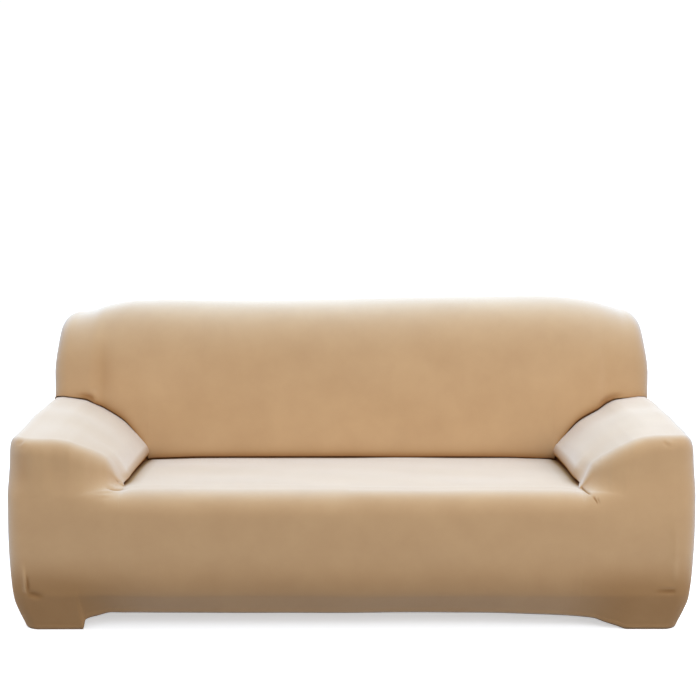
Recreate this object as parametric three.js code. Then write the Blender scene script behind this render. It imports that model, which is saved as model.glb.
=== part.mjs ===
// Stretch slipcover for a three-seat sofa, in the shape it is stretched to. The centre panel runs from the
// rear hem up and over the back, down into the tuck behind the seat and over the seat to the front hem.
// An arm panel closes each end. The cover is hollow and open below.
// Millimetres, +Z up, the front faces -Y, the floor is at Z 0.

import * as THREE from "three";

// Overall sizes of the stretched cover
const WIDTH = 2100;
const DEPTH = 880;
const HALF = WIDTH / 2;
const FRONT = -DEPTH / 2;
const REAR = DEPTH / 2;

// Cloth, and the space left between two panels along a seam
const CLOTH = 2;
const SEAM_GAP = 0.5;

// Lower edge: the cloth turns in over the base edge and its elastic hem is drawn in below it
const BASE_EDGE = 146;
const BASE_ROUND = 20;
const HEM_IN = 56;

// Outer sides: the length over which the cloth turns from the front, top and rear onto the sides
const SIDE_ROUND = 55;

// Fronts of the arms: they rise from the seat's front roll, and lean back where they are set back behind it
const FOOT_ROUND = 34;
const FACET_LEAN = 0.1;
const FULL_SET_BACK = 50;

// Back: its face leans back from the seat tuck, and its top is a wide roll, which turns over a shorter length
// on the crown than down the face
const BACK_FOOT_Y = 133;
const BACK_FOOT_Z = 413;
const BACK_LEAN = Math.tan(THREE.MathUtils.degToRad(10));
const BACK_FRONT_ROUND = 230;
const BACK_CROWN = 150;
const BACK_REAR_ROUND = 58;
const BACK_SHOULDER = 850;

// Length of the rounded lips on both sides of the tuck behind the seat and the arms
const TUCK_LIP = 16;

// Swell of the cloth between its edges
const REAR_SWELL = 6;
const SWELL_REACH = 120;
const BACK_SWELL = 8;
const SEAT_SWELL = 8;

// Sections from the middle out
// rear: height of the seat or the arm at the tuck
// tuck: depth of the tuck
// roll, turn: height of the seat's front roll, which runs on below the arms, and the length over which it turns
// lift: how much higher the foot of the arm's front is than the roll
// left, right: height of the arm's front edge, how far it is set back and the length over which it turns
const SECTIONS = [
  { x: 0, rear: 407, tuck: 26, roll: 452, turn: 70, lift: 0, left: [452, 90, 6], right: [452, 90, 6] },
  { x: 360, rear: 406, tuck: 26, roll: 452, turn: 70, lift: 0, left: [452, 100, 6], right: [452, 90, 6] },
  { x: 520, rear: 406, tuck: 26, roll: 452, turn: 70, lift: 0, left: [452, 105, 6], right: [452, 90, 6] },
  { x: 630, rear: 406, tuck: 25, roll: 452, turn: 68, lift: 0, left: [452, 110, 6], right: [452, 90, 6] },
  { x: 680, rear: 405, tuck: 20, roll: 450, turn: 62, lift: 0, left: [450, 112, 6], right: [450, 90, 6] },
  { x: 702, rear: 403, tuck: 14, roll: 447, turn: 56, lift: 0, left: [447, 112, 6], right: [447, 90, 6] },
  { x: 707, rear: 410, tuck: 13, roll: 447, turn: 55, lift: 0, left: [454, 112, 8], right: [457, 86, 8] },
  { x: 714, rear: 432, tuck: 12, roll: 447, turn: 54, lift: 4, left: [462, 110, 20], right: [474, 78, 26] },
  { x: 722, rear: 449, tuck: 12, roll: 447, turn: 53, lift: 9, left: [478, 101, 30], right: [494, 70, 36] },
  { x: 730, rear: 461, tuck: 12, roll: 447, turn: 52, lift: 13, left: [499, 90, 40], right: [513, 62, 44] },
  { x: 740, rear: 476, tuck: 12, roll: 447, turn: 51, lift: 17, left: [522, 76, 48], right: [530, 52, 50] },
  { x: 751, rear: 490, tuck: 12, roll: 446, turn: 50, lift: 21, left: [540, 61, 53], right: [541, 41, 54] },
  { x: 775, rear: 516, tuck: 12, roll: 442, turn: 50, lift: 25, left: [560, 38, 57], right: [561, 23, 57] },
  { x: 790, rear: 531, tuck: 12, roll: 440, turn: 50, lift: 27, left: [570, 26, 58], right: [572, 14, 58] },
  { x: 813, rear: 546, tuck: 12, roll: 436, turn: 50, lift: 29, left: [583, 11, 58], right: [588, 6, 58] },
  { x: 832, rear: 556, tuck: 12, roll: 432, turn: 50, lift: 30, left: [592, 5, 58], right: [598, 2, 58] },
  { x: 846, rear: 563, tuck: 12, roll: 430, turn: 50, lift: 30, left: [599, 2, 57], right: [606, 1, 57] },
  { x: 872, rear: 577, tuck: 12, roll: 430, turn: 50, lift: 30, left: [607, 0, 55], right: [616, 0, 55] },
  { x: 897, rear: 591, tuck: 12, roll: 430, turn: 50, lift: 30, left: [610, 0, 54], right: [621, 0, 54] },
  { x: 922, rear: 601, tuck: 12, roll: 430, turn: 50, lift: 30, left: [612, 0, 51], right: [623, 0, 51] },
  { x: 950, rear: 605, tuck: 12, roll: 430, turn: 50, lift: 30, left: [613, 0, 48], right: [625, 0, 48] },
  { x: 975, rear: 608, tuck: 12, roll: 430, turn: 50, lift: 30, left: [613, 0, 47], right: [626, 0, 47] },
  { x: 995, rear: 610, tuck: 12, roll: 430, turn: 50, lift: 30, left: [614, 0, 46], right: [626, 0, 46] },
  { x: 1020, rear: 615, tuck: 12, roll: 430, turn: 50, lift: 30, left: [621, 0, 46], right: [629, 0, 46] },
  { x: 1040, rear: 626, tuck: 12, roll: 430, turn: 50, lift: 30, left: [631, 0, 46], right: [633, 0, 46] },
  { x: 1050, rear: 633, tuck: 12, roll: 430, turn: 50, lift: 30, left: [638, 0, 46], right: [638, 0, 46] },
];
const SEAT_HALF = 702;
const SEAT_REAR = SECTIONS.find(({ x }) => x === SEAT_HALF).rear;
const SIDE_SEAM = 567;

// How far the back's face is set back at its ends, above the tuck and at its top. Columns: x, y
const WING = [
  [-1050, 20], [-1020, 18], [-995, 15], [-950, 8], [-922, 2], [-897, 0], [-872, 12], [-846, 12], [-813, 6], [-775, 1],
  [775, 0], [846, -2], [872, 4], [897, 10], [950, 11], [995, 15], [1020, 18], [1050, 20],
];
const WING_TOP = [[-1050, 20], [-950, 7], [-870, 1], [-790, 0], [790, 0], [870, 1], [950, 7], [1050, 20]];

// Height of the back's top. Columns: x, z
const BACK_TOP = [
  [-1050, 884], [-990, 880], [-935, 888], [-880, 905], [-770, 920], [-400, 921], [-40, 923], [130, 930],
  [350, 934], [690, 935], [800, 927], [885, 913], [945, 898], [1000, 886], [1050, 888],
];

// Height of the hem at the front and the rear, which drops over a foot at each end. Columns: x, z
const FRONT_HEM = [
  [-1050, 0], [-846, 0], [-832, 32], [-790, 45], [-745, 55], [0, 55], [400, 55], [600, 50],
  [702, 43], [756, 36], [790, 24], [832, 11], [872, 0], [1050, 0],
];
const REAR_HEM = [[-1050, 0], [-872, 0], [-756, 55], [756, 55], [872, 0], [1050, 0]];

// Height of the hem along each side. Columns: y, z
const SIDE_HEM = [[-440, 0], [-270, 0], [-170, 50], [170, 50], [270, 0], [440, 0]];

// Share of the full width that the sides reach at each height. Columns: z, share
const FLARE = [
  [0, 0.972], [60, 0.989], [105, 0.997], [300, 1], [430, 0.997],
  [560, 0.989], [680, 0.988], [815, 0.973], [940, 0.964],
];

// How far the front swells at each height: out below the seat, and drawn in on the arms above it. Columns: z, y
const FRONT_BELLY = [
  [0, 0], [146, 0], [220, 6], [300, 8], [380, 7], [422, 5], [450, 0], [478, -6], [508, -11], [550, -16], [590, -19],
  [618, -20], [640, -20],
];

// Share by which the arms are drawn in along the front. Columns: x, share
const ARM_DRAWN = [
  [-1050, 2.2], [-1030, 1.7], [-1005, 1.05], [-985, 0.65], [-960, 0.4], [-935, 0.5], [-900, 1], [-800, 1.3],
  [-702, 1], [702, 1], [960, 0.8], [1000, 0.9], [1050, 1.2],
];

// Steps the cloth is divided into along each run and round each edge of a section
const STEPS = {
  hem: 2, base: 2, face: 4, turn: 4, shelf: 1, foot: 2, facet: 1, cap: 4, seat: 4, lip: 2, tuck: 1, back: 5,
  roll: 5, crown: 2, side: 3,
};
const TO_CAP = STEPS.face + STEPS.turn + STEPS.shelf + STEPS.foot + STEPS.facet + STEPS.cap / 2;

// Read a table between its rows, along a smooth curve or along straight lines.
function read(table, at, Interpolant = THREE.LinearInterpolant) {
  const curve = new Interpolant(table.map((row) => row[0]), table.map((row) => row[1]), 1);
  return curve.evaluate(at)[0];
}

// A line through corners in the plane of a section, each corner rounded over its own length, or over its lead
// on the way to it, and the run after it swollen outwards, to the right of the way along.
function roundedLine(corners) {
  const turns = corners.map(({ at, round, lead = round, steps }, i) => {
    if (!steps) {
      return [at];
    }
    const [before, after] = [corners[i - 1], corners[i + 1]];
    const most = 0.98 - Math.min(0.49, (before.round ?? 0) / at.distanceTo(before.at));
    const short = (other, length, limit) => at.clone().lerp(other.at, Math.min(limit, length / at.distanceTo(other.at)));
    const turn = new THREE.QuadraticBezierCurve(short(before, lead, most), at, short(after, round, 0.49));
    return turn.getPoints(steps);
  });
  return turns.flatMap((turn, i) => {
    const { run = 1, swell = 0 } = corners[i];
    const line = [...turn];
    for (let k = 1; k < run; k += 1) {
      const from = turn.at(-1);
      const to = turns[i + 1][0];
      const outward = new THREE.Vector2(to.y - from.y, from.x - to.x).normalize();
      const t = k / run;
      line.push(from.clone().lerp(to, t).addScaledVector(outward, swell * 4 * t * (1 - t)));
    }
    return line;
  });
}

// The two lines of one section: over the back from the rear hem to the tuck, and over the seat or the arm
// from the tuck to the front hem.
function sectionLines({ x, rear, tuck, roll, turn, lift, left, right }) {
  const over = Math.max(0, Math.abs(x) - (HALF - SIDE_ROUND));
  const inset = SIDE_ROUND - Math.sqrt(SIDE_ROUND ** 2 - over ** 2);
  const frontY = FRONT + inset;
  const rearY = REAR - inset;
  const topZ = read(BACK_TOP, x, THREE.CubicInterpolant) - inset;
  const creaseZ = rear - inset;
  const lipZ = creaseZ + TUCK_LIP;
  const backY = (z, wing = WING) => BACK_FOOT_Y + (z - BACK_FOOT_Z) * BACK_LEAN + read(wing, x) + inset;
  const point = (y, z) => new THREE.Vector2(y, z);
  const tuckAt = point(backY(creaseZ) + tuck / 3, creaseZ - tuck);

  const rearHem = { at: point(rearY - HEM_IN, read(REAR_HEM, x)), run: STEPS.hem };
  const rearBase = { at: point(rearY, BASE_EDGE), round: BASE_ROUND, steps: STEPS.base, run: TO_CAP };
  const sideSeam = { at: point(rearY, SIDE_SEAM) };
  sideSeam.run = STEPS.back + STEPS.lip + STEPS.tuck;
  const rearRoll = { at: point(rearY, topZ), round: BACK_REAR_ROUND, steps: STEPS.roll, run: STEPS.crown };
  const frontRoll = { at: point(backY(topZ, WING_TOP), topZ), round: BACK_FRONT_ROUND, steps: STEPS.roll };
  frontRoll.lead = BACK_CROWN;
  frontRoll.run = STEPS.back;
  frontRoll.swell = BACK_SWELL;
  const backLip = { at: point(backY(lipZ), lipZ), round: TUCK_LIP, steps: STEPS.lip, run: STEPS.tuck };

  // On the seat the arm's front edge and its foot are one point of the seat's own curve.
  const [edge, setBack, edgeTurn] = x < 0 ? left : right;
  const lipY = backY(creaseZ) - TUCK_LIP;
  const share = 1 - setBack / (lipY - frontY);
  const seatRear = Math.abs(x) < SEAT_HALF ? rear : SEAT_REAR;
  const footZ = THREE.MathUtils.lerp(seatRear, roll, share) + SEAT_SWELL * hump(share) + lift;
  const capZ = Math.abs(x) > SEAT_HALF ? Math.max(edge, footZ) : footZ;
  const lean = FACET_LEAN * Math.min(1, setBack / FULL_SET_BACK) * (capZ - footZ);
  const seatLip = { at: point(lipY, creaseZ), round: TUCK_LIP, steps: STEPS.lip, run: STEPS.seat };
  seatLip.swell = SEAT_SWELL * share ** 2;
  const cap = { at: point(frontY + setBack + lean, capZ - inset), round: edgeTurn, steps: STEPS.cap, run: STEPS.facet };
  const foot = { at: point(frontY + setBack, footZ), round: FOOT_ROUND, steps: STEPS.foot, run: STEPS.shelf };
  const frontEdge = { at: point(frontY, roll), round: turn, steps: STEPS.turn, run: STEPS.face };
  const frontBase = { at: point(frontY, BASE_EDGE), round: BASE_ROUND, steps: STEPS.base, run: STEPS.hem };
  const frontHem = { at: point(frontY + HEM_IN, read(FRONT_HEM, x)) };

  const overBack = roundedLine([rearHem, rearBase, sideSeam, rearRoll, frontRoll, backLip, { at: tuckAt }]);
  const startAt = { at: tuckAt, run: STEPS.tuck };
  const overSeat = roundedLine([startAt, seatLip, cap, foot, frontEdge, frontBase, frontHem]);
  return { x, overBack: overBack.map(swellRear), overSeat: overSeat.map((at) => swellFront(x, at)) };
}

// A rise and fall between 0 and 1, and nothing outside them.
function hump(t) {
  return t > 0 && t < 1 ? 4 * t * (1 - t) : 0;
}

// The front swells up to the height of the seat, over the arms as well, and is drawn in above it.
function swellFront(x, at) {
  const belly = read(FRONT_BELLY, at.y, THREE.CubicInterpolant);
  const swell = belly < 0 ? belly * read(ARM_DRAWN, x) : belly;
  const near = THREE.MathUtils.clamp(1 - (at.x - FRONT) / SWELL_REACH, 0, 1);
  return new THREE.Vector2(at.x - swell * near, at.y);
}

// The rear swells between the base edge and the roll of the top.
function swellRear(at) {
  const swell = REAR_SWELL * hump((at.y - BASE_EDGE) / (BACK_SHOULDER - BASE_EDGE));
  const near = THREE.MathUtils.clamp(1 - (REAR - at.x) / SWELL_REACH, 0, 1);
  return new THREE.Vector2(at.x + swell * near, at.y);
}

// Put a point of a section line in its place, with the sides drawn in by their flare.
function place(x, at) {
  const drawn = (1 - read(FLARE, at.y, THREE.CubicInterpolant)) * (Math.abs(x) / HALF) ** 4;
  return new THREE.Vector3(x * (1 - drawn), at.x, at.y);
}

// The side of the back above the arm: rungs between the line down its rear and the line down its face.
function wingSide({ x, overBack }) {
  const crown = overBack.length - 1 - (STEPS.tuck + STEPS.lip + STEPS.back + STEPS.roll + STEPS.crown / 2);
  const rungs = [];
  for (let k = 0; crown + k < overBack.length; k += 1) {
    const rung = [];
    for (let c = 0; c <= STEPS.side; c += 1) {
      rung.push(place(x, overBack[crown - k].clone().lerp(overBack[crown + k], c / STEPS.side)));
    }
    rungs.push(rung);
  }
  return rungs;
}

// The outer side of an arm: a patch filled in from the lines along its top, front, hem and rear.
function armSide({ x, overBack, overSeat }) {
  const rearLow = STEPS.hem + STEPS.base + TO_CAP;
  const rear = overBack.slice(0, rearLow + 1).reverse();
  const turn = overSeat.length - 1 - rearLow;
  const front = overSeat.slice(turn);
  const top = [];
  for (let c = 0; c < STEPS.side; c += 1) {
    top.push(rear[0].clone().lerp(overSeat[0], c / STEPS.side));
  }
  top.push(...overSeat.slice(0, turn + 1));
  const columns = top.length - 1;
  const hem = top.map((_, c) => {
    const y = THREE.MathUtils.lerp(rear.at(-1).x, front.at(-1).x, c / columns);
    return new THREE.Vector2(y, read(SIDE_HEM, y));
  });
  return rear.map((_, r) => top.map((__, c) => {
    const u = c / columns;
    const v = r / rearLow;
    const at = top[c].clone().multiplyScalar(1 - v).addScaledVector(hem[c], v);
    at.addScaledVector(rear[r], 1 - u).addScaledVector(front[r], u);
    at.addScaledVector(top[0], -(1 - u) * (1 - v)).addScaledVector(top[columns], -u * (1 - v));
    at.addScaledVector(hem[0], -(1 - u) * v).addScaledVector(hem[columns], -u * v);
    return place(x, at);
  }));
}

// One panel of cloth: its outer surface, built up from grids of points that share their edges.
class Panel {
  constructor() {
    this.points = [];
    this.faces = [];
    this.numbers = new Map();
  }

  number(point) {
    const key = Panel.key(point);
    if (!this.numbers.has(key)) {
      this.numbers.set(key, this.points.length);
      this.points.push(point);
    }
    return this.numbers.get(key);
  }

  static key(point) {
    return point.toArray().map((value) => Math.round(value * 64)).join();
  }

  // The outer side is the one that rows run down, and their points to the right, as seen from it.
  addGrid(rows, mirrored = false) {
    for (let r = 1; r < rows.length; r += 1) {
      for (let c = 1; c < rows[r].length; c += 1) {
        const [a, b] = [rows[r - 1][c - 1], rows[r - 1][c]].map((point) => this.number(point));
        const [d, e] = [rows[r][c - 1], rows[r][c]].map((point) => this.number(point));
        for (const [p, q, s] of [[a, d, e], [a, e, b]]) {
          if (p !== q && q !== s && s !== p) {
            this.faces.push(mirrored ? [p, s, q] : [p, q, s]);
          }
        }
      }
    }
  }

  // Edges that only one face has, each with the cloth on its left
  rimEdges() {
    const edges = this.faces.flatMap(([p, q, s]) => [[p, q], [q, s], [s, p]]);
    const present = new Set(edges.map((edge) => edge.join()));
    return edges.filter(([from, to]) => !present.has(`${to},${from}`));
  }

  // The solid cloth: drawn back from its seams, thickened inwards and closed along its rim.
  solid(isSeam, normalAt) {
    const rim = this.rimEdges();
    const normals = this.points.map(normalAt);
    const drawBack = this.points.map(() => new THREE.Vector3());
    for (const [from, to] of rim.filter(([a, b]) => isSeam(this.points[a], this.points[b]))) {
      const along = this.points[to].clone().sub(this.points[from]).normalize();
      [from, to].forEach((number) => drawBack[number].add(normals[number].clone().cross(along)));
    }
    const outer = this.points.map((point, i) => (
      point.clone().addScaledVector(drawBack[i].normalize(), SEAM_GAP / 2)
    ));
    const inner = outer.map((point, i) => point.clone().addScaledVector(normals[i], -CLOTH));
    const count = outer.length;
    const triangles = [
      ...this.faces,
      ...this.faces.map(([p, q, s]) => [p + count, s + count, q + count]),
      ...rim.map(([from, to]) => [to, from, from + count]),
      ...rim.map(([from, to]) => [to, from + count, to + count]),
    ];
    const geometry = new THREE.BufferGeometry().setFromPoints([...outer, ...inner]);
    geometry.setIndex(triangles.flat());
    geometry.computeVertexNormals();
    return geometry;
  }
}

// Sections from left to right, as rows of points
const mirroredSections = SECTIONS.slice(1).reverse().map((section) => ({ ...section, x: -section.x }));
const sections = [...mirroredSections, ...SECTIONS].map(sectionLines);
const backRows = sections.map(({ x, overBack }) => overBack.map((at) => place(x, at)));
const seatRows = sections.map(({ x, overSeat }) => overSeat.map((at) => place(x, at)));
const leftSeam = sections.findIndex(({ x }) => x === -SEAT_HALF);
const rightSeam = sections.findIndex(({ x }) => x === SEAT_HALF);

// Centre panel: the back from end to end, the seat between the arms and the two sides of the back
const centre = new Panel();
centre.addGrid(backRows, true);
centre.addGrid(seatRows.slice(leftSeam, rightSeam + 1), true);
centre.addGrid(wingSide(sections[0]));
centre.addGrid(wingSide(sections.at(-1)), true);

// Arm panels: over the arm from the seat out, and down its outer side
const armLeft = new Panel();
armLeft.addGrid(seatRows.slice(0, leftSeam + 1), true);
armLeft.addGrid(armSide(sections[0]));

const armRight = new Panel();
armRight.addGrid(seatRows.slice(rightSeam), true);
armRight.addGrid(armSide(sections.at(-1)), true);

// Seams are the rim edges that two panels share, and the panels have one outward direction along them.
const panels = { centre_panel: centre, arm_panel_left: armLeft, arm_panel_right: armRight };
const edgeKey = (a, b) => [Panel.key(a), Panel.key(b)].sort().join(" ");
const shared = new Map();
const outward = new Map();
for (const panel of Object.values(panels)) {
  for (const [from, to] of panel.rimEdges()) {
    const key = edgeKey(panel.points[from], panel.points[to]);
    shared.set(key, (shared.get(key) ?? 0) + 1);
  }
  for (const face of panel.faces) {
    const [p, q, s] = face.map((number) => panel.points[number]);
    const normal = q.clone().sub(p).cross(s.clone().sub(p));
    for (const key of [p, q, s].map(Panel.key)) {
      outward.set(key, normal.clone().add(outward.get(key) ?? new THREE.Vector3()));
    }
  }
}
const isSeam = (a, b) => shared.get(edgeKey(a, b)) > 1;
const normalAt = (point) => outward.get(Panel.key(point)).clone().normalize();

const cover = new THREE.Group();
cover.name = "stretch_sofa_slipcover";
for (const [name, panel] of Object.entries(panels)) {
  const jersey = new THREE.MeshStandardMaterial({ color: 0xc2a179, roughness: 0.92, metalness: 0 });
  const mesh = new THREE.Mesh(panel.solid(isSeam, normalAt), jersey);
  mesh.name = name;
  cover.add(mesh);
}

export default cover;
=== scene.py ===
# Stretch slipcover with a seat for three: three panels of tan knit, sewn together and shown as they are
# stretched, with a rolled back, sloping arms and an elastic hem that drops to four feet.
import math

import bmesh
import bpy
import numpy as np
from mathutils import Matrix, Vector
from mathutils.kdtree import KDTree


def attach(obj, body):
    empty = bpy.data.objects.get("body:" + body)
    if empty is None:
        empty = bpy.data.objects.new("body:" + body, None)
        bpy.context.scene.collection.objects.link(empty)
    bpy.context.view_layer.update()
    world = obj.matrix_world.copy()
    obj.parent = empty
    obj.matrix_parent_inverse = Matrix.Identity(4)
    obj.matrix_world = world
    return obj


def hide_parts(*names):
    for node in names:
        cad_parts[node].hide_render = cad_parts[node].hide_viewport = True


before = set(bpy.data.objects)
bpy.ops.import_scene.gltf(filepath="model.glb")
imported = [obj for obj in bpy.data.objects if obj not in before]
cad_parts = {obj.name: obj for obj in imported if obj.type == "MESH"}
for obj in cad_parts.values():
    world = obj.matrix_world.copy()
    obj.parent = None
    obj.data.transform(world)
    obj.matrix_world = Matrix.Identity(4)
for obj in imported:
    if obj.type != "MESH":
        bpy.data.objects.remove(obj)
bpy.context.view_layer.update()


# Centre panel
# One long strip of knitted polyester and elastane. It runs from the rear hem over the back, is pushed down
# into a tuck behind the seat and goes on over the seat to the front hem. The sides of the back are sewn in.
# Sizes in mm. x runs across the cover, y from front to rear and z up.
MM = 0.001
HALF_WIDTH = 1050
FRONT, REAR = -440, 440
CLOTH_THICK = 1.8
# The seam between the panels: its distance from the middle beside the seat, its height at the rear corner.
SEAT_SEAM = 702
SIDE_SEAM = 567
# Rounding of the outer edges, and the distance from the middle where it starts.
SIDE_ROUND = 55
SIDE_CORNER = HALF_WIDTH - SIDE_ROUND
# The base: height of its edge, length of the turn over and under that edge, how far in the hem lies.
BASE_EDGE, BASE_OVER, BASE_UNDER, HEM_IN = 146, 60, 28, 56
# The back: its foot, its lean, the length of the turns at its top, the height where its rear stops swelling.
BACK_FOOT_Y, BACK_FOOT_Z, BACK_LEAN = 133, 413, math.tan(math.radians(10))
BACK_FRONT_ROUND, BACK_CROWN, BACK_REAR_ROUND, BACK_SHOULDER = 170, 150, 58, 850
# The tuck and the lips on both sides of it. The last two are shares of the gap's height and of TUCK_IN.
TUCK_DEEP, TUCK_IN, TUCK_LEAN = 24, 22, 1
BACK_LIP_ROUND, UNDER_LIP_ROUND, SEAT_LIP_ROUND = 3, 4, 8
UNDER_LIP_HIGH, SEAT_LIP_IN = 0.6, 0.6
# The drawn-in front of an arm: its lean, the set back at which that is full, and the turn at its foot.
FACET_LEAN, FACET_FULL, FOOT_ROUND = 0.1, 50, 34
# How far the cloth swells out, how far in from front and rear that reaches, and the y that parts the face of
# the back from its rear.
REAR_SWELL, BACK_SWELL, SEAT_SWELL, SWELL_REACH, BACK_MIDDLE = 6, 8, 8, 120, 330

# Sections from the middle out: height of the seat or arm at the tuck, height of the gap over it, and at the
# front the height where the roll of the seat turns down, the length of that turn, and how much higher the
# foot of the arm's front is.
# Columns: x, rear, gap, roll, turn, lift
SECTION_ROWS = [
    (0, 407, 5, 452, 70, 0), (520, 406, 5, 452, 70, 0), (630, 403, 5, 452, 68, 0),
    (680, 401, 6, 450, 62, 0), (695, 398, 8, 448, 58, 0), (702, 396, 9, 447, 56, 0),
    (704, 412, 9, 447, 55, 0), (708, 417, 9, 447, 55, 1), (714, 436, 10, 447, 54, 4),
    (730, 461, 10, 447, 52, 13), (756, 496, 9, 445, 50, 22), (790, 531, 8, 440, 50, 27),
    (832, 556, 7, 432, 50, 30), (846, 563, 7, 430, 50, 30), (872, 577, 6, 430, 50, 30),
    (897, 591, 6, 430, 50, 30), (922, 601, 5, 430, 50, 30), (950, 605, 4, 430, 50, 30),
    (975, 608, 3, 430, 50, 30), (995, 610, 3, 430, 50, 30), (1020, 615, 3, 430, 50, 30),
    (1040, 626, 3, 430, 50, 30), (1050, 633, 3, 430, 50, 30),
]

# How far the face of the back is set back at its ends, with an uneven pull in the cloth at the left.
# Columns: x, set back. WING is at the tuck and WING_TOP at the top.
WING = [
    (-1050, 20), (-1020, 18), (-995, 15), (-950, 8), (-922, 2), (-906, -1), (-896, 0), (-886, 4),
    (-876, 10), (-866, 14), (-858, 14), (-840, 11), (-815, 6), (-785, 2), (-756, 0), (756, 0),
    (845, -2), (858, -1), (868, 3), (880, 8), (892, 10), (922, 10), (950, 11), (995, 15),
    (1020, 18), (1050, 20),
]
WING_TOP = [(-1050, 20), (-950, 7), (-870, 1), (-790, 0), (790, 0), (870, 1), (950, 7), (1050, 20)]

# Front edge of the left and right arms: its height, how far it is set back, and the length of its turn.
# Columns: x, left height, left set back, left turn, right height, right set back, right turn
ARM_EDGE = [
    (702, 444, 112, 8, 444, 90, 10), (704, 451, 112, 10, 452, 88, 12), (708, 454, 112, 14, 458, 85, 16),
    (714, 462, 110, 20, 474, 78, 26), (722, 478, 101, 30, 494, 70, 36), (730, 499, 90, 40, 513, 62, 44),
    (740, 522, 76, 48, 530, 52, 50), (751, 540, 61, 53, 541, 41, 54), (763, 551, 49, 56, 552, 31, 56),
    (775, 560, 38, 57, 561, 23, 57), (790, 570, 26, 58, 572, 14, 58), (813, 583, 11, 58, 588, 6, 58),
    (832, 592, 5, 58, 598, 2, 58), (860, 604, 0, 56, 612, 0, 56), (897, 610, 0, 54, 621, 0, 54),
    (950, 613, 0, 48, 625, 0, 48), (995, 614, 0, 46, 626, 0, 46), (1020, 621, 0, 46, 629, 0, 46),
    (1040, 631, 0, 46, 633, 0, 46), (1050, 638, 0, 46, 638, 0, 46),
]

# Columns: x, height of the back's top
BACK_TOP = [
    (-1050, 884), (-990, 880), (-935, 888), (-880, 905), (-770, 920), (-400, 921), (-40, 923), (130, 930),
    (350, 934), (690, 935), (800, 927), (885, 913), (945, 898), (1000, 886), (1050, 888),
]
# Columns: x, height of the hem in front and at the rear
FRONT_HEM = [
    (-1050, 0), (-846, 0), (-832, 32), (-790, 45), (-745, 55), (0, 55), (400, 55), (600, 50),
    (702, 43), (756, 36), (790, 24), (832, 11), (872, 0), (1050, 0),
]
REAR_HEM = [(-1050, 0), (-872, 0), (-756, 55), (756, 55), (872, 0), (1050, 0)]
# Columns: z, how far the front swells out, or is drawn in where it is negative
FRONT_BELLY = [
    (146, 0), (220, 6), (300, 8), (350, 7.4), (390, 5.6), (420, 2.8), (446, -1), (470, -6.5), (496, -12),
    (530, -16), (590, -19), (618, -20), (640, -20),
]
# Columns: x, how strongly the front is drawn in there
ARM_DRAWN = [
    (-1050, 2.2), (-1030, 1.7), (-1005, 1.05), (-985, 0.65), (-960, 0.4), (-935, 0.5), (-900, 1), (-800, 1.3),
    (-702, 1), (702, 1), (960, 0.8), (1000, 0.9), (1050, 1.2),
]
# Columns: z, share of the full width that the sides reach
FLARE = [
    (0, 0.972), (60, 0.989), (105, 0.997), (300, 1), (430, 0.997), (560, 0.989), (680, 0.988), (815, 0.973),
    (940, 0.964),
]


def smooth(rows, at, column=1):
    """Read a column of a table between its rows, on a curve that never overshoots them."""
    x = np.array([row[0] for row in rows], float)
    y = np.array([row[column] for row in rows], float)
    step, rise = np.diff(x), np.diff(y) / np.diff(x)
    slope = np.zeros(len(x))
    slope[[0, -1]] = rise[[0, -1]]
    same = rise[:-1] * rise[1:] > 0
    slope[1:-1][same] = 2 * rise[:-1][same] * rise[1:][same] / (rise[:-1] + rise[1:])[same]
    at = np.clip(at, x[0], x[-1])
    i = np.clip(np.searchsorted(x, at, side="right") - 1, 0, len(step) - 1)
    t = (at - x[i]) / step[i]
    return (y[i] * (1 + 2 * t) * (1 - t) ** 2 + y[i + 1] * t * t * (3 - 2 * t)
            + step[i] * t * (1 - t) * (slope[i] * (1 - t) - slope[i + 1] * t))


def hump(t):
    """Rise and fall between 0 and 1, and nothing outside them."""
    return np.where((t > 0) & (t < 1), 4 * t * (1 - t), 0)


# Two turns take at most TURNS_SHARE of the run between them, and the first one at most TURN_SHARE of it.
TURNS_SHARE, TURN_SHARE = 0.98, 0.49
RUN_CLOSER = 1.7
NO_LENGTH = 1e-6


def rounded_lines(corners):
    """Lines through rows of corners, one line for each section.

    Each corner is its (y, z) in all sections, the length of its turn before and after it, the steps in the
    turn, and the steps and swell of the run that follows. The steps of a run are even, or closer at its start
    where their number is negative."""
    turns = []
    for i, (at, legs, steps, _, _) in enumerate(corners):
        if not steps:
            turns.append(at[:, None])
            continue
        before, after = corners[i - 1], corners[i + 1]
        ends = []
        for other, leg, other_leg in ((before, legs[0], before[1][1]), (after, legs[1], math.inf)):
            way = other[0] - at
            length = np.maximum(NO_LENGTH, np.linalg.norm(way, axis=1))
            share = np.minimum(TURNS_SHARE - np.minimum(TURN_SHARE, other_leg / length), leg / length)
            ends.append(at + way * share[:, None])
        start, end = ends[0][:, None], ends[1][:, None]
        t = np.linspace(0, 1, steps + 1)[None, :, None]
        turns.append((1 - t) ** 2 * start + 2 * t * (1 - t) * at[:, None] + t * t * end)
    lines = []
    for i, (*_, run, swell) in enumerate(corners):
        lines.append(turns[i])
        if abs(run) > 1:
            start, end = turns[i][:, -1:], turns[i + 1][:, :1]
            out = np.stack([(end - start)[..., 1], -(end - start)[..., 0]], axis=2)
            out /= np.maximum(NO_LENGTH, np.linalg.norm(out, axis=2, keepdims=True))
            t = np.linspace(0, 1, abs(run) + 1)[None, 1:-1, None]
            if run < 0:
                t = t ** RUN_CLOSER
            lines.append(start + (end - start) * t + out * swell * hump(t))
    return np.concatenate(lines, axis=1)


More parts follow.
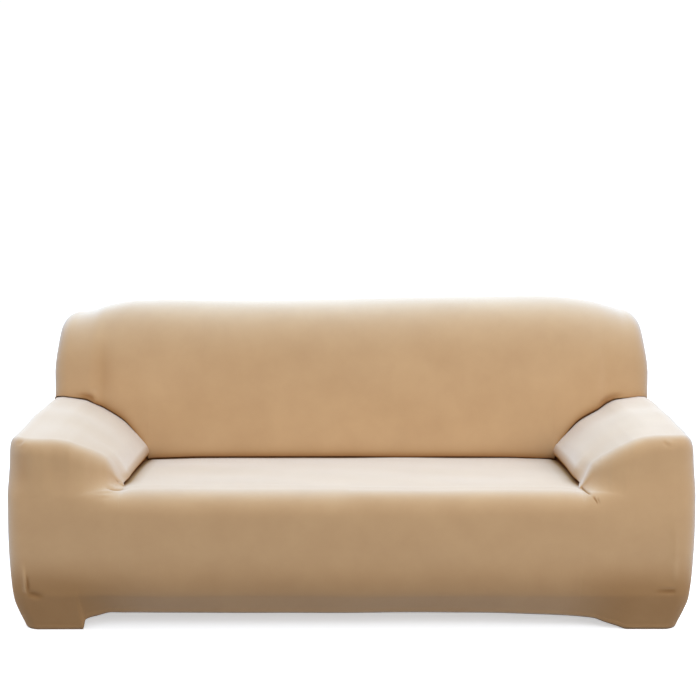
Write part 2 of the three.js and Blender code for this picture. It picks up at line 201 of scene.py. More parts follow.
def section_lines(x, steps):
    """Two lines for each section at x, in mm: over the back, from the rear hem to the tuck, and over the seat
    or arm, from there to the front hem."""
    rear, gap, roll, turn, lift = (smooth(SECTION_ROWS, abs(x), column) for column in range(1, 6))
    left_edge = [smooth(ARM_EDGE, abs(x), column) for column in (1, 2, 3)]
    right_edge = [smooth(ARM_EDGE, abs(x), column) for column in (4, 5, 6)]
    cap, set_back, cap_turn = (np.where(x < 0, left, right) for left, right in zip(left_edge, right_edge))
    over = np.maximum(0, abs(x) - SIDE_CORNER)
    inset = SIDE_ROUND - np.sqrt(np.maximum(0, SIDE_ROUND ** 2 - over ** 2))
    front_y, rear_y = FRONT + inset, REAR - inset
    top, crease = smooth(BACK_TOP, x) - inset, rear - inset

    def back_y(z, wing=WING):
        return BACK_FOOT_Y + (z - BACK_FOOT_Z) * BACK_LEAN + smooth(wing, x) + inset

    def corner(y, z, leg=0, bend=0, run=1, swell=0, lead=None):
        legs = (leg, leg) if lead is None else (lead, leg)
        return np.stack([y + 0 * x, z + 0 * x], axis=1), legs, bend, run, swell

    tuck_y, tuck_z = back_y(crease) + TUCK_IN, crease - TUCK_DEEP
    under_lip = crease + UNDER_LIP_HIGH * gap
    over_back = rounded_lines([
        corner(rear_y - HEM_IN, smooth(REAR_HEM, x), run=steps["hem"]),
        corner(rear_y, BASE_EDGE, BASE_OVER, steps["base"], steps["rear low"], lead=BASE_UNDER),
        corner(rear_y, SIDE_SEAM, run=steps["rear high"]),
        corner(rear_y, top, BACK_REAR_ROUND, steps["roll"], steps["crown"]),
        corner(back_y(top, WING_TOP), top, BACK_FRONT_ROUND, steps["roll"], steps["back"], lead=BACK_CROWN),
        corner(back_y(crease + gap), crease + gap, BACK_LIP_ROUND, steps["lip"], run=2),
        corner(tuck_y - TUCK_LEAN, under_lip, UNDER_LIP_ROUND, steps["under"], steps["tuck"]),
        corner(tuck_y, tuck_z),
    ])
    lip_y = back_y(crease) + SEAT_LIP_IN * TUCK_IN
    share = (lip_y - front_y - set_back) / (lip_y - front_y)
    seat_rear = np.where(abs(x) < SEAT_SEAM, rear, smooth(SECTION_ROWS, SEAT_SEAM))
    seat_swell = (SEAT_SWELL * share ** 2)[:, None, None]
    foot = seat_rear + (roll - seat_rear) * share + SEAT_SWELL * hump(share) + lift
    cap = np.where(abs(x) > SEAT_SEAM, np.maximum(cap, foot), foot)
    facet_y = front_y + set_back
    cap_y = facet_y + FACET_LEAN * np.minimum(1, set_back / FACET_FULL) * (cap - foot)
    over_seat = rounded_lines([
        corner(tuck_y, tuck_z, run=steps["tuck"]),
        corner(lip_y, crease, SEAT_LIP_ROUND, steps["lip"], steps["seat"], seat_swell),
        corner(cap_y, cap - inset, cap_turn, steps["cap"], steps["facet"]),
        corner(facet_y, foot, FOOT_ROUND, steps["foot"], steps["shelf"]),
        corner(front_y, roll, turn, steps["turn"], -steps["face"]),
        corner(front_y, BASE_EDGE, BASE_UNDER, steps["base"], steps["hem"], lead=BASE_OVER),
        corner(front_y + HEM_IN, smooth(FRONT_HEM, x)),
    ])
    rise = np.clip((over_back[..., 1] - crease[:, None]) / (top - crease)[:, None], 0, 1)
    face_swell = BACK_SWELL * np.sin(math.pi * rise) ** 2
    over_back[..., 0] -= np.where(over_back[..., 0] < BACK_MIDDLE, face_swell, 0)
    rise = (over_back[..., 1] - BASE_EDGE) / (BACK_SHOULDER - BASE_EDGE)
    near = np.clip(1 - (REAR - over_back[..., 0]) / SWELL_REACH, 0, 1)
    over_back[..., 0] += near * REAR_SWELL * hump(rise)
    near = np.clip(1 - (over_seat[..., 0] - FRONT) / SWELL_REACH, 0, 1)
    swell = smooth(FRONT_BELLY, over_seat[..., 1])
    over_seat[..., 0] -= near * np.where(swell < 0, swell * smooth(ARM_DRAWN, x)[:, None], swell)
    return over_back, over_seat


def place(x, line):
    """Points in metres from section points in mm, with the sides drawn in by their flare."""
    drawn = (1 - smooth(FLARE, line[..., 1])) * (abs(x) / HALF_WIDTH) ** 4
    return np.stack([x * (1 - drawn), line[..., 0], line[..., 1]], axis=-1) * MM


# Seat and arm meet in front in a pinch. Behind it the arm bulges over the seam beside the seat.
PINCH_BEHIND, PINCH_FADE, OVERHANG_FADE = 100, 90, 24
# Columns: distance from the middle, how far the cloth moves out there
OVERHANG = [
    (670, 0), (688, 6), (697, 13), (702, 17), (704, 17), (705, 14), (706.5, 4), (708, -8), (710, -12),
    (714, -15), (720, -15), (730, -13), (745, -8), (765, -3), (800, 0),
]


def from_pinch(line):
    """Rises from nothing at the pinch to 1 a hand's breadth behind it."""
    t = np.clip((line[..., 0] - (FRONT + PINCH_BEHIND)) / PINCH_FADE, 0, 1)
    return t * t * (3 - 2 * t)


def overhang(x, line):
    """Places across the cover, moved sideways beside the seat so that the seam lies in a dark gap."""
    from_tuck = np.clip((line[:, :1, 0] - line[..., 0]) / OVERHANG_FADE, 0, 1)
    return x + np.sign(x) * smooth(OVERHANG, abs(x)) * from_tuck * from_pinch(line)


# Shade is painted into the cloth's colour: the share of the light that nearby cloth or the floor keeps off,
# as the eye sees it in a crease.
# Columns: distance from the middle, shade in the gap beside the seat, in the tuck and close to the floor
GAP_SHADE = [
    (655, 0), (675, 0.1), (686, 0.28), (694, 0.55), (699, 0.85), (706, 0.9), (709, 0.6), (711, 0.3),
    (717, 0.2), (724, 0),
]
TUCK_SHADE = [(0, 0.7), (860, 0.7), (950, 0.3), (1050, 0.15)]
LOW_SHADE = [(0, 0.15), (600, 0.15), (860, 0.28), (1050, 0.28)]
LOW_FADE = 130
DEEPEST_SHADE = 0.9
BACK_SPREAD, SEAT_SPREAD, ARM_SPREAD = 14, 9, 4


def beside_seat(x, line):
    """Painted shade in the gap under the overhang."""
    return smooth(GAP_SHADE, abs(x)) * from_pinch(line)


def in_tuck(x, from_tuck, deep, spread):
    """Painted shade of the cloth pushed down into a tuck, and more weakly of the cloth next to it."""
    past_tuck = np.maximum(0, from_tuck / MM - deep)
    return smooth(TUCK_SHADE, abs(x))[:, None] * np.exp(-past_tuck / spread)


def near_floor(points):
    """Painted shade of the low cloth, from nothing at LOW_FADE over the base's edge to full below the edge.
    """
    t = np.clip((BASE_EDGE + LOW_FADE - points[..., 2] / MM) / LOW_FADE, 0, 1)
    return smooth(LOW_SHADE, abs(points[..., 0]) / MM) * t * t * (3 - 2 * t)


def add_cloth(bm, points, uv, to_hem, shade=0, inside_out=False):
    """Lay a grid of cloth through rows of points, with its own flat coordinates, its distance from the hem
    and its painted shade."""
    rows, columns = points.shape[:2]
    flat_layer = bm.loops.layers.uv.verify()
    hem_layer = bm.verts.layers.float.get("to_hem") or bm.verts.layers.float.new("to_hem")
    shade_layer = bm.verts.layers.float.get("shade") or bm.verts.layers.float.new("shade")
    made = bmesh.ops.create_grid(bm, x_segments=columns - 1, y_segments=rows - 1, size=1)["verts"]
    shade = np.maximum(near_floor(points), shade)
    values = zip(points.reshape(-1, 3), uv.reshape(-1, 2), to_hem.ravel(), shade.ravel())
    flat = {}
    for vert, (at, flat_at, hem_at, shade_at) in zip(made, values):
        vert.co = at
        vert[hem_layer] = hem_at
        vert[shade_layer] = shade_at
        flat[vert] = flat_at
    faces = {face for vert in made for face in vert.link_faces}
    for face in faces:
        for loop in face.loops:
            loop[flat_layer].uv = flat[loop.vert]
    if inside_out:
        bmesh.ops.reverse_faces(bm, faces=list(faces))


def lengths(points):
    """Distance along each row of points from its start."""
    steps = np.linalg.norm(np.diff(points, axis=1), axis=2)
    return np.concatenate([np.zeros((len(points), 1)), steps.cumsum(axis=1)], axis=1)


def wing_side(x, line, steps):
    """The side of the back above the arm: rungs between the line down its rear and the line down its face."""
    seam = steps["hem"] + steps["base"] + steps["rear low"]
    rear_rungs = steps["rear high"] + steps["roll"] + steps["crown"] // 2
    rungs = len(line) - 1 - seam - rear_rungs
    k = np.arange(rungs + 1)
    face_line, rear_line = line[-1 - k], line[seam + k * rear_rungs // rungs]
    t = np.linspace(0, 1, steps["side"] + 1)[None, :, None]
    rung_points = rear_line[:, None] * (1 - t) + face_line[:, None] * t
    return place(np.full(rung_points.shape[:2], x), rung_points)


# Folds as the eye in front sees them on the plane of the front: start, middle and end as (x, z), half width,
# how far they rise or sink, the shade painted along them (less than nothing takes painted shade off a
# ridge), and the share of the length over which each end fades.
EYE = np.array([-4, -4096, 1582])
FOLD_STEPS, FOLD_REACH = 24, 3
BACK_FOLDS = [
    ((-764, 780), (-759, 750), (-748, 726), 8, 4, -0.04, (0.3, 0.4)),
    ((-821, 754), (-785, 754), (-759, 744), 9, -6, 0.2, (0.5, 0.2)),
    ((-740, 960), (-734, 850), (-724, 735), 28, -1, 0.1, (0.5, 0.4)),
    ((818, 753), (771, 751), (731, 720), 9, -6, 0.08, (0.5, 0.3)),
]
FRONT_FOLDS = [
    ((-743, 478), (-710, 468), (-664, 473), 2.6, -3.4, 0.29, (0.4, 0.4)),
    ((-740, 484), (-722, 479), (-706, 479), 4, 2, -0.04, (0.4, 0.4)),
    ((-788, 463), (-745, 464), (-702, 466), 3, 0.6, 0, (0.6, 0.4)),
    ((-790, 456), (-745, 457), (-706, 459), 3, -1.4, 0.05, (0.6, 0.4)),
    ((-778, 449), (-735, 450), (-700, 452), 3.5, 0.6, 0, (0.6, 0.5)),
    ((-772, 442), (-740, 443), (-715, 444), 4, -1, 0.03, (0.5, 0.5)),
    ((686, 478), (701, 465), (724, 449), 3, -4.5, 0.38, (0.3, 0.3)),
    ((724, 449), (735, 434), (743, 419), 2.4, -3.8, 0.43, (0.3, 0.5)),
    ((733, 446), (739, 434), (745, 422), 2.4, 1.6, -0.08, (0.3, 0.5)),
    ((738, 444), (743, 433), (748, 422), 2.2, -2.6, 0.26, (0.3, 0.5)),
    ((-997, 603), (-987, 613), (-975, 622), 5, -3, 0.08, (0.4, 0.5)),
    ((-991, 597), (-979, 608), (-966, 619), 6, 2, -0.02, (0.4, 0.5)),
    ((-992, 592), (-986, 530), (-984, 462), 26, -1, 0.1, (0.2, 0.4)),
    ((928, 619), (938, 609), (944, 600), 5, -2.4, 0.08, (0.4, 0.4)),
    ((940, 622), (949, 613), (953, 603), 6, 2, -0.02, (0.4, 0.4)),
    ((-996, 246), (-995, 189), (-995, 140), 3.6, 6, -0.5, (0.7, 0.1)),
    ((-987, 210), (-987, 173), (-987, 136), 4, -4.4, 0.22, (0.6, 0.3)),
    ((-987, 138), (-962, 131), (-930, 130), 7, -5.4, 0.16, (0.2, 0.6)),
    ((915, 145), (955, 145), (993, 146), 4, -3, 0.2, (0.7, 0.2)),
    ((930, 157), (962, 157), (995, 158), 6, 2.4, -0.03, (0.6, 0.3)),
    ((974, 430), (980, 300), (988, 165), 10, 2.6, -0.08, (0.5, 0.2)),
]


def press_folds(bm, folds, facing):
    """Raise or sink the cloth along soft lines on the part where facing is true, and paint shade there,
    or take painted shade off where a fold's shade is less than nothing.
    """
    at = np.array([vert.co for vert in bm.verts]) / MM
    normal = np.array([vert.normal for vert in bm.verts])
    shown = facing(at, normal)
    seen = (EYE + (at - EYE) * ((FRONT - EYE[1]) / (at[:, 1:2] - EYE[1])))[:, [0, 2]]
    moved, dark = np.zeros(len(at)), np.zeros(len(at))
    t = np.linspace(0, 1, FOLD_STEPS + 1)[:, None]
    for start, middle, end, half_width, rise, shade, fades in folds:
        start, middle, end = np.array(start), np.array(middle), np.array(end)
        curve = (1 - t) * (1 - 2 * t) * start + 4 * t * (1 - t) * middle + t * (2 * t - 1) * end
        lowest, highest = curve.min(0) - FOLD_REACH * half_width, curve.max(0) + FOLD_REACH * half_width
        near = np.flatnonzero(shown & np.all((seen > lowest) & (seen < highest), axis=1))
        if not len(near):
            continue
        along = np.diff(curve, axis=0)
        offset = seen[near][:, None] - curve[:-1]
        share = np.clip((offset * along).sum(2) / (along ** 2).sum(1), 0, 1)
        gap = np.linalg.norm(offset - share[..., None] * along, axis=2)
        closest = gap.argmin(axis=1)
        nearest = np.arange(len(near)), closest
        position = (closest + share[nearest]) / len(along)
        ends = np.clip(np.minimum(position / fades[0], (1 - position) / fades[1]), 0, 1)
        form = np.exp(-(gap[nearest] / half_width) ** 2) * ends * ends * (3 - 2 * ends)
        moved[near] += rise * form
        dark[near] += shade * form
    # Painted shade: each fold's shade goes into the shade attribute, darker in troughs, lighter on ridges.
    layer = bm.verts.layers.float["shade"]
    for vert, way, distance, shade in zip(bm.verts, normal, moved, dark):
        if distance:
            vert.co += Vector(way * distance * MM)
            vert[layer] = min(max(0, vert[layer] + shade), DEEPEST_SHADE)


FRONT_PART, BACK_PART = -240, 0
SIDEWAYS, REARWARD = 0.85, 0.3


def on_front(at, normal):
    return (at[:, 1] < FRONT_PART) & (abs(normal[:, 0]) < SIDEWAYS)


def on_back_face(at, normal):
    return (at[:, 1] > BACK_PART) & (normal[:, 1] < REARWARD)


# Unevenness of smoothed cloth: the number of waves, their seed, lengths and height, and how far from a seam
# they reach their full height. HEM_EDGE is how close to the hem an edge counts as the hem, not as a seam.
EASE_WAVES, EASE_SEED = 14, 3
EASE_SHORT, EASE_LONG, EASE_RISE = 160, 420, 0.8
SEAM_CALM, HEM_EDGE = 40, 5


def ease(bm):
    """Shallow unevenness of hand-smoothed cloth, a hand's breadth across, from a few crossing waves. It fades
    out at the seams."""
    draw = np.random.default_rng(EASE_SEED)
    at = np.array([vert.co for vert in bm.verts])
    lift = np.zeros(len(at))
    for _ in range(EASE_WAVES):
        way = draw.normal(size=3)
        way *= 2 * math.pi / (np.linalg.norm(way) * draw.uniform(EASE_SHORT * MM, EASE_LONG * MM))
        lift += np.sin(at @ way + draw.uniform(0, 2 * math.pi))
    lift *= EASE_RISE * MM / math.sqrt(EASE_WAVES / 2)
    layer = bm.verts.layers.float["to_hem"]
    sewn = [vert.co for vert in bm.verts if vert.is_boundary and vert[layer] > HEM_EDGE * MM]
    seams = KDTree(len(sewn))
    for i, co in enumerate(sewn):
        seams.insert(co, i)
    seams.balance()
    for vert, amount in zip(bm.verts, lift):
        vert.co += vert.normal * amount * min(1, seams.find(vert.co)[2] / (SEAM_CALM * MM))


# The turned hem: its depth, the thickness that the fold adds, the depth and half width of the groove of its
# stitching, how softly the fold ends, and how far up it is worked out.
HEM_DEEP, HEM_FOLD, HEM_SOFT, HEM_REACH = 16, 0.7, 1.2, 40
HEM_GROOVE, HEM_GROOVE_WIDE = 0.9, 2.6


def turn_hem(bm):
    """The turned hem: a fold of double cloth with the groove of its stitching above it."""
    layer = bm.verts.layers.float["to_hem"]
    for vert in bm.verts:
        d = vert[layer] / MM
        if d < HEM_REACH:
            fold = 1 / (1 + math.exp((d - HEM_DEEP) / HEM_SOFT))
            groove = math.exp(-((d - HEM_DEEP) / HEM_GROOVE_WIDE) ** 2)
            vert.co += vert.normal * (HEM_FOLD * fold - HEM_GROOVE * groove) * MM


STITCH_LONG, STITCH_PITCH, THREAD_WIDE = 3.2, 4, 0.7
STITCH_SIDES, STITCH_RINGS = 6, 4
SEWN_BREAK = 40


def sew_hem(name, bm):
    """Stitches along the hem, each a short capsule of thread that lies in the groove."""
    layer = bm.verts.layers.float["to_hem"]
    line = []
    for edge in bm.edges:
        a, b = edge.verts
        past_a, past_b = a[layer] - HEM_DEEP * MM, b[layer] - HEM_DEEP * MM
        if past_a * past_b < 0:
            t = past_a / (past_a - past_b)
            line.append((a.co.lerp(b.co, t), a.normal.lerp(b.normal, t)))
    line.sort(key=lambda stitch: math.atan2(stitch[0].x, -stitch[0].y))
    stitch = bmesh.new()
    bmesh.ops.create_uvsphere(stitch, u_segments=STITCH_SIDES, v_segments=STITCH_RINGS, radius=0.5)
    bmesh.ops.triangulate(stitch, faces=stitch.faces)
    stitch.verts.index_update()
    stitch_points = np.array([vert.co for vert in stitch.verts])
    stitch_faces = np.array([[vert.index for vert in face.verts] for face in stitch.faces])
    stitch.free()
    points, ahead = [], 0
    for (start, up), (end, _) in zip(line, line[1:]):
        along, far = (end - start).normalized(), (end - start).length
        if far > SEWN_BREAK * MM:
            ahead = 0
            continue
        axes = np.array([up.cross(along) * THREAD_WIDE, up * THREAD_WIDE, along * STITCH_LONG]) * MM
        while ahead < far:
            points.append(stitch_points @ axes + np.array(start + along * ahead))
            ahead += STITCH_PITCH * MM
        ahead -= far
    first = np.arange(len(points))[:, None, None] * len(stitch_points)
    mesh = bpy.data.meshes.new(name)
    mesh.from_pydata(np.concatenate(points), [], (first + stitch_faces).reshape(-1, 3))
    mesh.shade_smooth()
    mesh.materials.append(thread)
    stitches = bpy.data.objects.new(name, mesh)
    bpy.context.collection.objects.link(stitches)
    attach(stitches, "root")
    return stitches


def finish_cloth(name, bm):
    """Turn the laid cloth into a piece of its own, thickened inwards."""
    mesh = bpy.data.meshes.new(name)
    bm.to_mesh(mesh)
    bm.free()
    mesh.shade_smooth()
    piece = bpy.data.objects.new(name, mesh)
    bpy.context.collection.objects.link(piece)
    wall = piece.modifiers.new("cloth", "SOLIDIFY")
    wall.thickness = CLOTH_THICK * MM
    wall.offset = -1
    return piece


def stations(rows, corner_steps):
    """Places across half the width, from rows of start, end and step, and on round the side."""
    turn = np.linspace(0, math.pi / 2, corner_steps + 1)
    return np.concatenate([np.arange(*row) for row in rows] + [SIDE_CORNER + SIDE_ROUND * np.sin(turn)])


def flat_on(x, along):
    """Flat coordinates of the cloth: across the cover, and along each of its sections."""
    return np.stack([np.broadcast_to(x[:, None] * MM, along.shape), along], axis=2)


# Steps in each stretch of a section, and rows of start, end and step across, closest beside the seam.
CENTRE_STEPS = {
    "hem": 12, "base": 6, "rear low": 10, "rear high": 20, "roll": 14, "crown": 8, "back": 42, "lip": 4,
    "under": 3, "tuck": 4, "seat": 40, "cap": 2, "facet": 1, "foot": 2, "shelf": 6, "turn": 16, "face": 26,
    "side": 12, "corner": 10,
}
CENTRE_STATIONS = [
    (0, 630, 21), (630, 690, 5), (690, 701, 2.2), (701.7, SEAT_SEAM, 1), (SEAT_SEAM, 760, 4),
    (760, SIDE_CORNER, 8.7),
]
FAR_FROM_HEM = 1000
MERGED = 0.02


def lay_centre_panel():
    """The strip over the back and the seat with the two sides of the back, merged along their edges."""
    half = stations(CENTRE_STATIONS, CENTRE_STEPS["corner"])
    x = np.concatenate([-half[:0:-1], half])
    over_back, over_seat = section_lines(x, CENTRE_STEPS)
    seat = abs(x) <= SEAT_SEAM
    seat_x, over_seat = x[seat], over_seat[seat]
    back_points = place(x[:, None], over_back)
    seat_points = place(overhang(seat_x[:, None], over_seat), over_seat)
    back_length, seat_length = lengths(back_points), lengths(seat_points)
    bm = bmesh.new()
    shade = in_tuck(x, back_length[:, -1:] - back_length, TUCK_IN + TUCK_DEEP, BACK_SPREAD)
    add_cloth(bm, back_points, flat_on(x, back_length), back_length, shade)
    flat = flat_on(seat_x, back_length[seat][:, -1:] + seat_length)
    shade = in_tuck(seat_x, seat_length, TUCK_DEEP, SEAT_SPREAD)
    shade = np.maximum(shade, beside_seat(seat_x[:, None], over_seat))
    add_cloth(bm, seat_points, flat, seat_length[:, -1:] - seat_length, shade)
    for end in (0, -1):
        side_points = wing_side(x[end], over_back[end], CENTRE_STEPS)
        to_hem = np.full(side_points.shape[:2], FAR_FROM_HEM * MM)
        add_cloth(bm, side_points, side_points[..., 1:], to_hem, inside_out=end == -1)
    bmesh.ops.remove_doubles(bm, verts=bm.verts, dist=MERGED * MM)
    bmesh.ops.dissolve_degenerate(bm, edges=bm.edges, dist=MERGED * MM)
    bm.normal_update()
    return bm


def linear(hex_colour):
    """Linear RGBA of an sRGB hex colour."""
    parts = [int(hex_colour[i:i + 2], 16) / 255 for i in (0, 2, 4)]
    return [p / 12.92 if p <= 0.04045 else ((p + 0.055) / 1.055) ** 2.4 for p in parts] + [1]


def add(tree, kind, inputs=(), **settings):
    """Add a node with its settings, and its inputs as values or as links from other nodes' sockets."""
    node = tree.nodes.new(kind)
    for name, value in settings.items():
        setattr(node, name, value)
    for socket, value in dict(inputs).items():
        if isinstance(value, bpy.types.NodeSocket):
            tree.links.new(value, node.inputs[socket])
        else:
            node.inputs[socket].default_value = value
    return node


# Polyester and elastane jersey, knitted fine and brushed: matt, soft at the edges, with rows of small
# V-shaped stitches that only show close up, a short fuzz and faint patches of tone. Stitches of 0.8 mm are
# drawn 2.2 mm wide so that they show. Painted shade, read from the shade attribute, darkens the yarn
# towards dark brown and takes the sheen and gloss off it.
LOOP_WIDE, LOOP_HIGH, LOOP_DEEP = 2.2, 1.9, 0.6
LOOP_SLANT, LOOP_TONE = 0.6, 1.2
FUZZ, PATCH = 1.111, 111.1
SHEEN_LOST, GLOSS = 3, 0.5
jersey = bpy.data.materials.new("brushed_jersey_knit")
jersey.use_nodes = True
tree = jersey.node_tree
tree.nodes.clear()
flat = add(tree, "ShaderNodeUVMap", uv_map="UVMap").outputs["UV"]
flat = add(tree, "ShaderNodeSeparateXYZ", {0: flat})
across = add(tree, "ShaderNodeMath", {0: flat.outputs["X"], 1: 1 / (LOOP_WIDE * MM)}, operation="MULTIPLY")
leg = add(tree, "ShaderNodeMath", {0: across.outputs[0], 1: 1}, operation="PINGPONG")
slant = add(tree, "ShaderNodeMath", {0: leg.outputs[0], 1: LOOP_SLANT}, operation="MULTIPLY")
along = add(tree, "ShaderNodeMath", {
    0: flat.outputs["Y"], 1: 1 / (LOOP_HIGH * MM), 2: slant.outputs[0],
}, operation="MULTIPLY_ADD")
loop = add(tree, "ShaderNodeMath", {0: along.outputs[0], 1: 0.5}, operation="PINGPONG")
body = add(tree, "ShaderNodeTexCoord").outputs["Object"]
fuzz = add(tree, "ShaderNodeTexNoise", {
    "Vector": body, "Scale": 1 / (FUZZ * MM), "Detail": 3, "Roughness": 0.6,
})
height = add(tree, "ShaderNodeMath", {0: loop.outputs[0], 1: fuzz.outputs["Fac"]}, operation="ADD")
bump = add(tree, "ShaderNodeBump", {
    "Height": height.outputs[0], "Strength": 0.6, "Distance": LOOP_DEEP * MM,
})
patchy = add(tree, "ShaderNodeTexNoise", {
    "Vector": body, "Scale": 1 / (PATCH * MM), "Detail": 4, "Roughness": 0.55,
})
# Painted light and shade on the stitches: the yarn is lighter where a loop stands high and darker between
# loops, on top of random patches of tone.
tone = add(tree, "ShaderNodeMath", {
    0: loop.outputs[0], 1: LOOP_TONE, 2: patchy.outputs["Fac"],
}, operation="MULTIPLY_ADD")
yarn = add(tree, "ShaderNodeMix", {
    "Factor": tone.outputs[0], 6: linear("b48d61"), 7: linear("c49e71"),
}, data_type="RGBA")
# Painted shade: the shade attribute mixes the yarn towards dark brown and takes off its sheen and gloss.
shade = add(tree, "ShaderNodeAttribute", attribute_name="shade").outputs["Fac"]
shaded = add(tree, "ShaderNodeMix", {
    "Factor": shade, 6: yarn.outputs[2], 7: linear("74401a"),
}, data_type="RGBA")
sheen = add(tree, "ShaderNodeMath", {
    0: shade, 1: -SHEEN_LOST, 2: 1,
}, operation="MULTIPLY_ADD", use_clamp=True)
gloss = add(tree, "ShaderNodeMath", {0: sheen.outputs[0], 1: GLOSS}, operation="MULTIPLY")
cloth = add(tree, "ShaderNodeBsdfPrincipled", {
    "Base Color": shaded.outputs[2], "Roughness": 0.7, "Normal": bump.outputs[0],
    "Specular IOR Level": gloss.outputs[0], "Sheen Weight": sheen.outputs[0], "Sheen Roughness": 0.5,
})
add(tree, "ShaderNodeOutputMaterial", {"Surface": cloth.outputs[0]})

# Polyester sewing thread in the colour of the knit: a fine twisted yarn with a weak shine. A diagonal band
# of the wave pattern is WAVE long at a scale of 1.
TWIST, TWIST_DEEP = 0.653, 0.1
WAVE = math.pi / (5 * math.sqrt(3))
thread = bpy.data.materials.new("polyester_sewing_thread")
thread.use_nodes = True
tree = thread.node_tree
tree.nodes.clear()
body = add(tree, "ShaderNodeTexCoord").outputs["Object"]
twist = add(tree, "ShaderNodeTexWave", {
    "Vector": body, "Scale": WAVE / (TWIST * MM), "Distortion": 2,
}, bands_direction="DIAGONAL").outputs["Fac"]
yarn = add(tree, "ShaderNodeMix", {
    "Factor": twist, 6: linear("a47d52"), 7: linear("bd9669"),
}, data_type="RGBA")
bump = add(tree, "ShaderNodeBump", {"Height": twist, "Strength": 0.4, "Distance": TWIST_DEEP * MM})
strand = add(tree, "ShaderNodeBsdfPrincipled", {
    "Base Color": yarn.outputs[2], "Roughness": 0.5, "Normal": bump.outputs[0], "Sheen Weight": 0.3,
})
add(tree, "ShaderNodeOutputMaterial", {"Surface": strand.outputs[0]})

centre_cloth = lay_centre_panel()
ease(centre_cloth)
press_folds(centre_cloth, BACK_FOLDS, on_back_face)
press_folds(centre_cloth, FRONT_FOLDS, on_front)
turn_hem(centre_cloth)
centre_stitches = sew_hem("centre_panel_stitches", centre_cloth)
centre_panel = finish_cloth("centre_panel_cloth", centre_cloth)
centre_panel.data.materials.append(jersey)
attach(centre_panel, "root")
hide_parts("centre_panel")


# Arm panels
# One piece of the same knit over each arm: from the seam beside the seat up over the arm, down its front and
# round its outer side. Sewn to the centre panel along the seat, the back and the rear corner.
ARM_STEPS = {
    "hem": 14, "base": 8, "rear low": 103, "rear high": 4, "roll": 2, "crown": 2, "back": 4, "lip": 6,
    "under": 3, "tuck": 4, "seat": 80, "cap": 18, "facet": 10, "foot": 8, "shelf": 16, "turn": 16, "face": 44,
    "side": 14, "corner": 12,
}
FROM_SEAM = [0, 0.3, 1, 1.7, 2.4, 3, 3.6, 4.2, 4.8, 5.5, 6.2, 7, 8, 9, 10.5]
ARM_STATIONS = [(714, 790, 2.4), (790, SIDE_CORNER, 4.2)]
# Columns: y, height of the side hem
SIDE_HEM = [(-440, 0), (-270, 0), (-170, 50), (170, 50), (270, 0), (440, 0)]


def arm_side(x, rear_line, top_line, steps):
    """The outer side of an arm, filled in from the lines along its top, front, hem and rear."""
    rows = steps["hem"] + steps["base"] + steps["rear low"]
    rear = rear_line[:rows + 1][::-1]
    turn = len(top_line) - 1 - rows
    front = top_line[turn:]
    t = np.linspace(0, 1, steps["side"] + 1)[:-1, None]
    top = np.concatenate([rear[0] * (1 - t) + top_line[0] * t, top_line[:turn + 1]])
    u, v = np.linspace(0, 1, len(top))[None, :, None], np.linspace(0, 1, rows + 1)[:, None, None]
    hem_y = rear[-1, 0] + (front[-1, 0] - rear[-1, 0]) * u[0, :, 0]
    hem = np.stack([hem_y, smooth(SIDE_HEM, hem_y)], axis=1)
    filled = (top[None] * (1 - v) + hem[None] * v + rear[:, None] * (1 - u) + front[:, None] * u
              - (top[0] * (1 - u) + top[-1] * u) * (1 - v) - (hem[0] * (1 - u) + hem[-1] * u) * v)
    return place(np.full(filled.shape[:2], x), filled)


def lay_arm_panel(side):
    """The top and front of an arm and its outer side, merged along the outer edge."""
    half = np.concatenate([SEAT_SEAM + np.array(FROM_SEAM), stations(ARM_STATIONS, ARM_STEPS["corner"])])
    x = half if side > 0 else -half[::-1]
    over_back, over_arm = section_lines(x, ARM_STEPS)
    points = place(overhang(x[:, None], over_arm), over_arm)
    length = lengths(points)
    shade = np.maximum(in_tuck(x, length, TUCK_DEEP, ARM_SPREAD), beside_seat(x[:, None], over_arm))
    bm = bmesh.new()
    add_cloth(bm, points, flat_on(x, length), length[:, -1:] - length, shade)
    outer = -1 if side > 0 else 0
    side_points = arm_side(x[outer], over_back[outer], over_arm[outer], ARM_STEPS)
    down = lengths(side_points.transpose(1, 0, 2)).T
    add_cloth(bm, side_points, side_points[..., 1:], down[-1:] - down, inside_out=side < 0)
    bmesh.ops.remove_doubles(bm, verts=bm.verts, dist=MERGED * MM)
    bm.normal_update()
    return bm


for side, node in ((-1, "arm_panel_left"), (1, "arm_panel_right")):
    arm_cloth = lay_arm_panel(side)
    ease(arm_cloth)
    press_folds(arm_cloth, FRONT_FOLDS, on_front)
    turn_hem(arm_cloth)
    arm_stitches = sew_hem(node + "_stitches", arm_cloth)
    arm_panel = finish_cloth(node + "_cloth", arm_cloth)
    arm_panel.data.materials.append(jersey)
    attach(arm_panel, "root")
    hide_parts(node)


# Floor, light and camera
# A near-white paper floor in white surroundings. A large soft light hangs above and behind, a second one
# stands in front at the right, and a faint one lights the left side.
FLOOR_SIZE, PAPER_GLOW = 300, 0.5
bm = bmesh.new()
bmesh.ops.create_grid(bm, x_segments=1, y_segments=1, size=FLOOR_SIZE)
floor_mesh = bpy.data.meshes.new("floor")
bm.to_mesh(floor_mesh)
bm.free()
floor = bpy.data.objects.new("floor", floor_mesh)
bpy.context.collection.objects.link(floor)
paper = bpy.data.materials.new("matt_white_paper")
paper.use_nodes = True
paper_inputs = paper.node_tree.nodes["Principled BSDF"].inputs
paper_inputs["Base Color"].default_value = linear("ffffff")
paper_inputs["Roughness"].default_value = 1
paper_inputs["Emission Color"].default_value = linear("ffffff")
paper_inputs["Emission Strength"].default_value = PAPER_GLOW
floor_mesh.materials.append(paper)

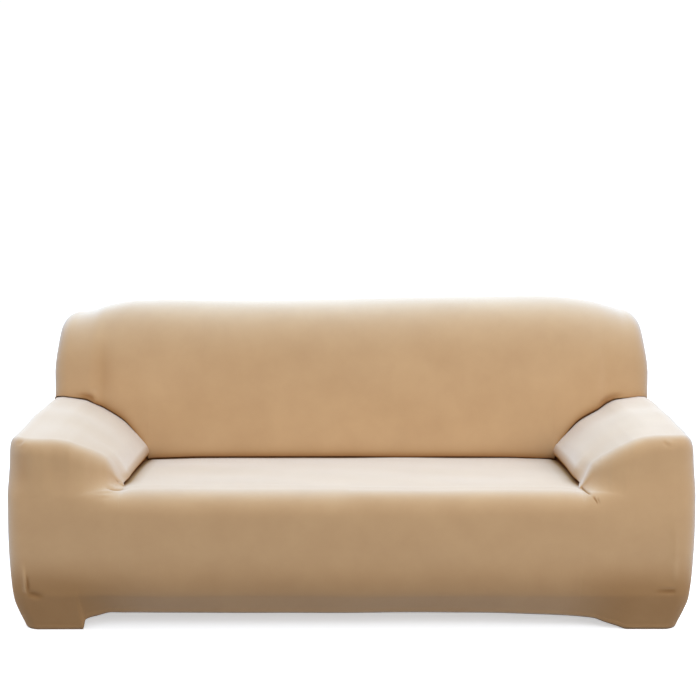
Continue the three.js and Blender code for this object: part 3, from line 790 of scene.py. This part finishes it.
# The surroundings are white above the horizon, a little bluer overhead, and dark below the horizon. They
# shade the low cloth as an ordinary floor does, so the white paper itself throws no light on it.
HORIZON_LOW, HORIZON_HIGH, DARK_BELOW, WHITE_ABOVE = -0.07, -0.02, 0.1, 1.04
BLUE_FROM, BLUE_TO = 0.1, 0.9
floor.visible_diffuse = False
world = bpy.data.worlds.new("white_surroundings")
world.use_nodes = True
sky = world.node_tree
direction = add(sky, "ShaderNodeTexCoord").outputs["Generated"]
upward = add(sky, "ShaderNodeSeparateXYZ", {0: direction}).outputs["Z"]
white = add(sky, "ShaderNodeMapRange", {
    "Value": upward, "From Min": HORIZON_LOW, "From Max": HORIZON_HIGH,
    "To Min": DARK_BELOW, "To Max": WHITE_ABOVE,
})
blue = add(sky, "ShaderNodeMapRange", {"Value": upward, "From Min": BLUE_FROM, "From Max": BLUE_TO})
tint = add(sky, "ShaderNodeMix", {
    "Factor": blue.outputs[0], 6: linear("ffffff"), 7: linear("e9f3ff"),
}, data_type="RGBA")
sky.links.new(tint.outputs[2], sky.nodes["Background"].inputs["Color"])
sky.links.new(white.outputs[0], sky.nodes["Background"].inputs["Strength"])
bpy.context.scene.world = world

# Columns: name, place and aim in metres, size in metres, watts, colour
for name, at, aim, size, watts, colour in (
    ("window_light", (0.1, 1.0, 3.2), (0, -0.2, 0.5), 2.6, 105, "a4d4ff"),
    ("front_light", (2.7, -3.8, 2.6), (0, 0, 0.5), 2.5, 76, "ffffff"),
    ("side_light", (-3.6, -0.6, 0.55), (-1, -0.4, 0.4), 1.5, 9, "ffffff"),
):
    lamp = bpy.data.lights.new(name, "AREA")
    lamp.size, lamp.energy, lamp.color = size, watts, linear(colour)[:3]
    lamp_object = bpy.data.objects.new(name, lamp)
    lamp_object.location = at
    lamp_object.rotation_euler = (Vector(aim) - Vector(at)).to_track_quat("-Z", "Y").to_euler()
    bpy.context.collection.objects.link(lamp_object)

# The camera stands less than a millimetre from the eye that the folds are drawn for, and looks LOOKS_DOWN
# degrees down. Its place is in metres.
CAMERA_PLACE = (-0.0043, -4.096, 1.582)
LENS, LOOKS_DOWN = 65.1, 10.65
camera = bpy.data.objects.new("camera", bpy.data.cameras.new("camera"))
camera.data.lens = LENS
camera.location = CAMERA_PLACE
camera.rotation_euler = (math.radians(90 - LOOKS_DOWN), 0, 0)
bpy.context.collection.objects.link(camera)
bpy.context.scene.camera = camera
bpy.context.scene.view_settings.view_transform = "Standard"
